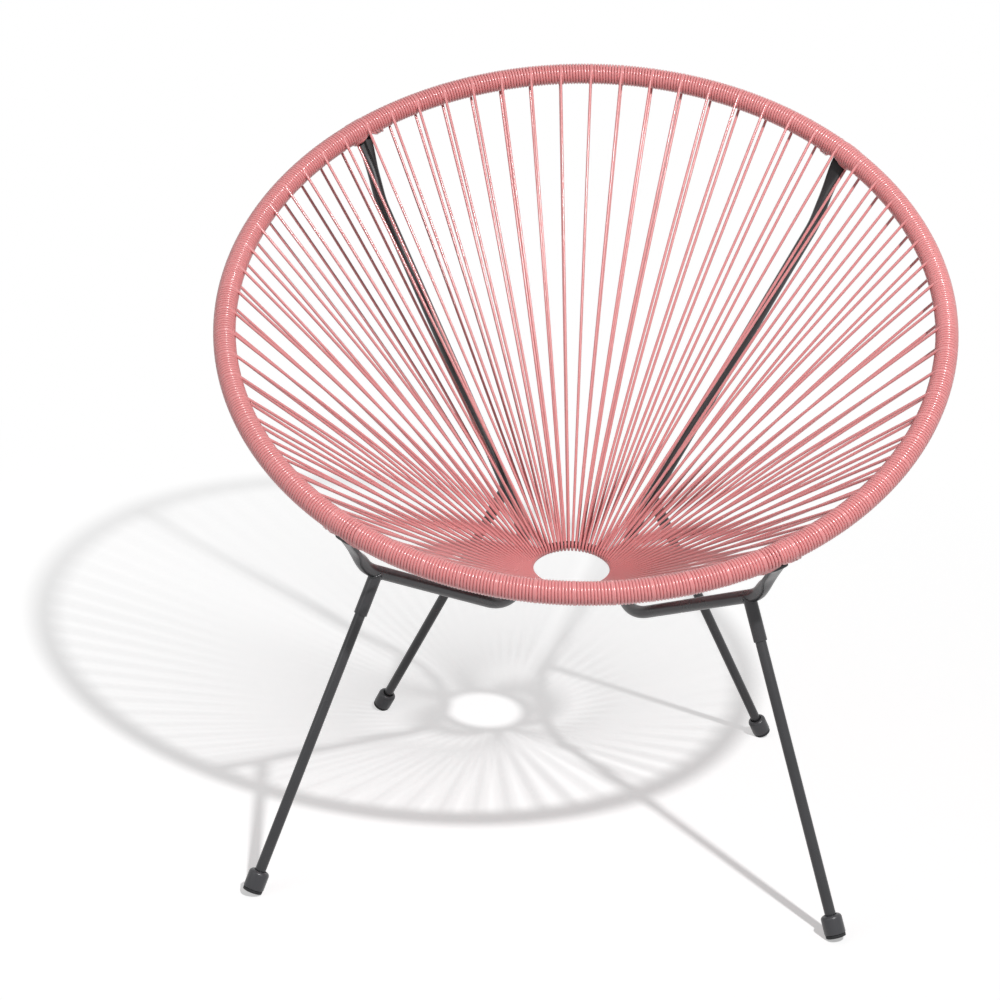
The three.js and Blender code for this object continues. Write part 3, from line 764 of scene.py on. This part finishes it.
def filleted(profile):
    # Rounds each corner of a [radius, height, fillet] profile
    points = []
    for i, (radius, height, fillet) in enumerate(profile):
        here = Vector((radius, height))
        if not fillet:
            points.append(here)
            continue
        before = Vector(profile[i - 1][:2]) - here
        after = Vector(profile[i + 1][:2]) - here
        reach = min(fillet, before.length * lathe["filletShare"], after.length * lathe["filletShare"])
        start = here + before.normalized() * reach
        end = here + after.normalized() * reach
        for n in range(lathe["filletSteps"] + 1):
            share = n / lathe["filletSteps"]
            points.append(start * (1 - share) ** 2 + here * (2 * share * (1 - share)) + end * share ** 2)
    return points


def turnedForm(profile, top, direction):
    # A lathe form whose axis runs from the top along the direction
    turn = Vector((0, 0, 1)).rotation_difference(direction).to_matrix()
    form = bmesh.new()
    rings = []
    for radius, height in filleted(profile):
        if radius < 1e-9:
            rings.append([form.verts.new(turn @ Vector((0, 0, height)) + top)])
            continue
        ring = []
        for k in range(lathe["sides"]):
            angle = 2 * math.pi * k / lathe["sides"]
            corner = Vector((radius * math.cos(angle), radius * math.sin(angle), height))
            ring.append(form.verts.new(turn @ corner + top))
        rings.append(ring)
    for first, second in zip(rings, rings[1:]):
        for k in range(lathe["sides"]):
            m = (k + 1) % lathe["sides"]
            corners = [first[k % len(first)], first[m % len(first)]]
            corners += [second[m % len(second)], second[k % len(second)]]
            form.faces.new(list(dict.fromkeys(corners)))
    return form


def legAxis(top, halfWidth, back):
    # The foot's height depends on the lean, so both are found by a few rounds
    foot = Vector((halfWidth, back, 0))
    for _ in range(5):
        direction = (foot - top).normalized()
        lean = math.hypot(direction.x, direction.y)
        foot = Vector((halfWidth, back, pad["radius"] * lean - pad["wear"]))
    direction = (foot - top).normalized()
    return {"top": top, "foot": foot, "direction": direction, "length": (foot - top).length}


def weldBead(form, top, direction, run):
    # A bead along the line where the socket meets the side tube
    cosine = direction.dot(run)
    sine = math.sqrt(1 - cosine * cosine)
    along = (run - direction * cosine).normalized()
    across = direction.cross(along)
    socketRadius = socket["radius"]
    count = weld["points"]
    middles = []
    for n in range(count):
        angle = 2 * math.pi * n / count
        tube = math.sqrt(max(sideTube["radius"] ** 2 - (socketRadius * math.sin(angle)) ** 2, 0))
        height = (tube + cosine * socketRadius * math.cos(angle)) / sine
        radial = along * math.cos(angle) + across * math.sin(angle)
        middles.append((top + radial * socketRadius + direction * height, radial))
    rings = []
    for n, (middle, radial) in enumerate(middles):
        ahead = (middles[(n + 1) % count][0] - middles[n - 1][0]).normalized()
        out = (radial - ahead * radial.dot(ahead)).normalized()
        up = ahead.cross(out)
        size = weld["size"] * (1 + weld["ripple"] * math.sin(2 * math.pi * n * weld["ripples"] / count))
        ring = []
        for k in range(weld["sides"]):
            angle = 2 * math.pi * k / weld["sides"]
            ring.append(form.verts.new(middle + out * size * math.cos(angle) + up * size * math.sin(angle)))
        rings.append(ring)
    for n in range(count):
        first, second = rings[n], rings[(n + 1) % count]
        for k in range(weld["sides"]):
            m = (k + 1) % weld["sides"]
            form.faces.new((first[k], first[m], second[m], second[k]))


def mirrorForm(form):
    for vert in form.verts:
        vert.co.x = -vert.co.x


lowerRun = (innerVertex - frontVertex).normalized()
backRun = (easeCorner - innerVertex).normalized()
legs = (
    ("front", lowerRun, legAxis(frontVertex + lowerRun * socket["frontAlong"], *leg["frontFoot"])),
    ("rear", backRun, legAxis(innerVertex + backRun * socket["rearAlong"], *leg["rearFoot"])),
)
socketEnd = sideTube["radius"] + socket["reach"]
boreEnd = socketEnd - socket["bore"]
legStart = boreEnd + leg["clearance"]
boreRadius = leg["radius"] + leg["clearance"]
for name, run, axis in legs:
    length = axis["length"]
    capTop = length - pad["thickness"] - leg["clearance"] - cap["length"]
    legEnd = capTop + cap["length"] - cap["floor"] - leg["clearance"]
    capEnd = capTop + cap["length"]
    shoulder = [
        (cap["radius"] - cap["shoulder"] * (1 - math.sin(rad(angle))),
         capTop + cap["shoulder"] * (1 - math.cos(rad(angle))), 0)
        for angle in range(0, 91, cap["shoulderStep"])
    ]
    profiles = {
        "socket": [
            (0, socket["start"], 0),
            (socket["radius"], socket["start"], 0),
            (socket["radius"], socketEnd, socket["edge"]),
            (boreRadius, socketEnd, socket["edge"] / 2),
            (boreRadius, boreEnd, 0),
            (leg["stud"] + leg["clearance"], boreEnd, 0),
            (leg["stud"] + leg["clearance"], boreEnd - socket["studHole"], 0),
            (0, boreEnd - socket["studHole"], 0),
        ],
        "leg": [
            (0, legStart - leg["studLength"], 0),
            (leg["stud"], legStart - leg["studLength"], leg["edge"]),
            (leg["stud"], legStart, 0),
            (leg["radius"], legStart, leg["edge"]),
            (leg["radius"], legEnd, leg["edge"]),
            (0, legEnd, 0),
        ],
        "cap": [
            (0, capEnd - cap["floor"], 0),
            (boreRadius, capEnd - cap["floor"], 0),
            (boreRadius, capTop + cap["lip"], 0),
            (boreRadius + cap["lip"] / 2, capTop, cap["lipEdge"]),
            *shoulder,
            (cap["radius"], capEnd, cap["edge"]),
            (0, capEnd, 0),
        ],
        "pad": [
            (0, length - pad["thickness"], 0),
            (pad["radius"], length - pad["thickness"], pad["edge"]),
            (pad["radius"], length, pad["edge"]),
            (0, length, 0),
        ],
    }
    materials = {
        "socket": steelMaterial, "leg": steelMaterial,
        "cap": capMaterial, "pad": padMaterial,
    }
    names = {
        "socket": ("_leg_socket", "frame"), "leg": ("_leg", "frame"),
        "cap": ("_foot_cap", "foot_cap"), "pad": ("_foot_pad", "foot_pad"),
    }
    for hand in ("right", "left"):
        for kind, profile in profiles.items():
            form = turnedForm(profile, axis["top"], axis["direction"])
            if kind == "socket":
                weldBead(form, axis["top"], axis["direction"], run)
            if kind == "pad":
                cut = bmesh.ops.bisect_plane(
                    form, geom=form.verts[:] + form.edges[:] + form.faces[:],
                    plane_co=(0, 0, 0), plane_no=(0, 0, -1), clear_outer=True,
                )
                rim = [item for item in cut["geom_cut"] if isinstance(item, bmesh.types.BMEdge)]
                bmesh.ops.edgeloop_fill(form, edges=rim)
            if hand == "left":
                mirrorForm(form)
            ending, slotName = names[kind]
            piece = formed("turned_" + name + ending + "_" + hand, form, materials[kind])
            keep(piece, slotName, name + ending + "_" + hand)
print("the legs, sockets, caps and pads are made")


# Floor, lights and camera

stage = {
    "floorHalf": 6.0,
    "floorColour": (0.70, 0.70, 0.70, 1.0),
    "white": 1.01,                # how bright the floor looks where no shadow falls
    "ambient": 0.117,             # its share from the world and the fill light
    "clearMiddle": Vector((-0.22, 0.45, 0)),  # the floor turns plain white away from this place
    "clearFrom": 0.90,
    "clearTo": 1.25,
    "worldStrength": 0.13,
    "aim": Vector((0, 0, 0.35)),
    "key": {"place": Vector((0.912, -1.678, 2.443)), "size": 0.12, "power": 68.0},
    "fill": {"place": Vector((-2.6, -2.4, 2.2)), "size": 2.5, "power": 12.0},
}
camera = {
    "place": Vector((0.084, -1.971, 0.917)),
    "yaw": -0.081,                # radians
    "pitch": 0.290,
    "roll": 0.039,
    "lens": 72.0,
    "sensor": 36.0,
}


def seenDirectly(graph):
    path = graph.tree.nodes.new("ShaderNodeLightPath")
    kinds = ("Is Camera Ray", "Is Glossy Ray", "Is Transmission Ray")
    rays = [Link(graph, path.outputs[name]) for name in kinds]
    return (rays[0] + rays[1] + rays[2]).clamped()


def floorMaterial():
    material = bpy.data.materials.new("white_floor")
    material.use_nodes = True
    material.node_tree.nodes.clear()
    graph = Graph(material.node_tree)
    seen = seenDirectly(graph)
    place = graph.node("ShaderNodeTexCoord", {}, (), "Object")
    fromMiddle = place - stage["clearMiddle"]
    distance = graph.node("ShaderNodeVectorMath", {"operation": "LENGTH"}, [fromMiddle], 1)
    span = stage["clearTo"] - stage["clearFrom"]
    far = ((distance - stage["clearFrom"]) / span).clamped()
    # The glow makes up for the key light's fall with distance, so that only shadows show on the floor
    key = stage["key"]
    back = (key["place"] - stage["aim"]).normalized()
    height = stage["floorColour"][0] * key["power"] * key["place"].z / math.pi ** 2
    toKey = -place + key["place"]
    fall = toKey.dot(toKey).maths("POWER", -2.0)
    brightness = (stage["white"] - stage["ambient"]) - toKey.dot(back) * fall * height
    paint = graph.node("ShaderNodeBsdfDiffuse", {}, {"Color": stage["floorColour"]})
    glow = graph.node("ShaderNodeEmission", {}, {"Color": brightness, "Strength": 1.0})
    lit = graph.node("ShaderNodeAddShader", {}, [paint, glow])
    near = graph.node("ShaderNodeMixShader", {}, [seen, paint, lit])
    white = graph.node("ShaderNodeEmission", {}, {"Color": (1, 1, 1, 1), "Strength": 1.0})
    both = graph.node("ShaderNodeMixShader", {}, [far * seen, near, white])
    graph.node("ShaderNodeOutputMaterial", {}, {"Surface": both})
    return material


def makeFloor():
    half = stage["floorHalf"]
    mesh = bpy.data.meshes.new("studio_floor")
    corners = [(-half, -half, 0), (half, -half, 0), (half, half, 0), (-half, half, 0)]
    mesh.from_pydata(corners, [], [(0, 1, 2, 3)])
    mesh.materials.append(floorMaterial())
    floor = bpy.data.objects.new("studio_floor", mesh)
    bpy.context.scene.collection.objects.link(floor)


def makeWorld():
    world = bpy.data.worlds.new("studio")
    bpy.context.scene.world = world
    world.use_nodes = True
    world.node_tree.nodes.clear()
    graph = Graph(world.node_tree)
    seen = seenDirectly(graph)
    strength = graph.mix(stage["worldStrength"], 1.0, seen)
    sky = graph.node("ShaderNodeBackground", {}, {"Color": (1, 1, 1, 1), "Strength": strength})
    graph.node("ShaderNodeOutputWorld", {}, {"Surface": sky})


def makeLamp(name, values):
    light = bpy.data.lights.new(name, "AREA")
    light.shape = "DISK"
    light.size = values["size"]
    light.energy = values["power"]
    lamp = bpy.data.objects.new(name, light)
    lamp.location = values["place"]
    lamp.rotation_euler = (stage["aim"] - lamp.location).to_track_quat("-Z", "Y").to_euler()
    bpy.context.scene.collection.objects.link(lamp)


def makeCamera():
    yaw, pitch, roll = camera["yaw"], camera["pitch"], camera["roll"]
    forward = Vector((math.sin(yaw) * math.cos(pitch), math.cos(yaw) * math.cos(pitch), -math.sin(pitch)))
    level = Vector((math.cos(yaw), -math.sin(yaw), 0))
    up = level.cross(forward)
    across = level * math.cos(roll) + up * math.sin(roll)
    above = up * math.cos(roll) - level * math.sin(roll)
    data = bpy.data.cameras.new("camera")
    data.lens = camera["lens"]
    data.sensor_width = camera["sensor"]
    eye = bpy.data.objects.new("camera", data)
    turn = Matrix((across, above, -forward)).transposed().to_4x4()
    eye.matrix_world = Matrix.Translation(camera["place"]) @ turn
    bpy.context.scene.collection.objects.link(eye)
    bpy.context.scene.camera = eye


makeFloor()
makeWorld()
makeLamp("key_light", stage["key"])
makeLamp("fill_light", stage["fill"])
makeCamera()
bpy.context.scene.view_settings.view_transform = "Standard"
print("the floor, lights and camera are set")
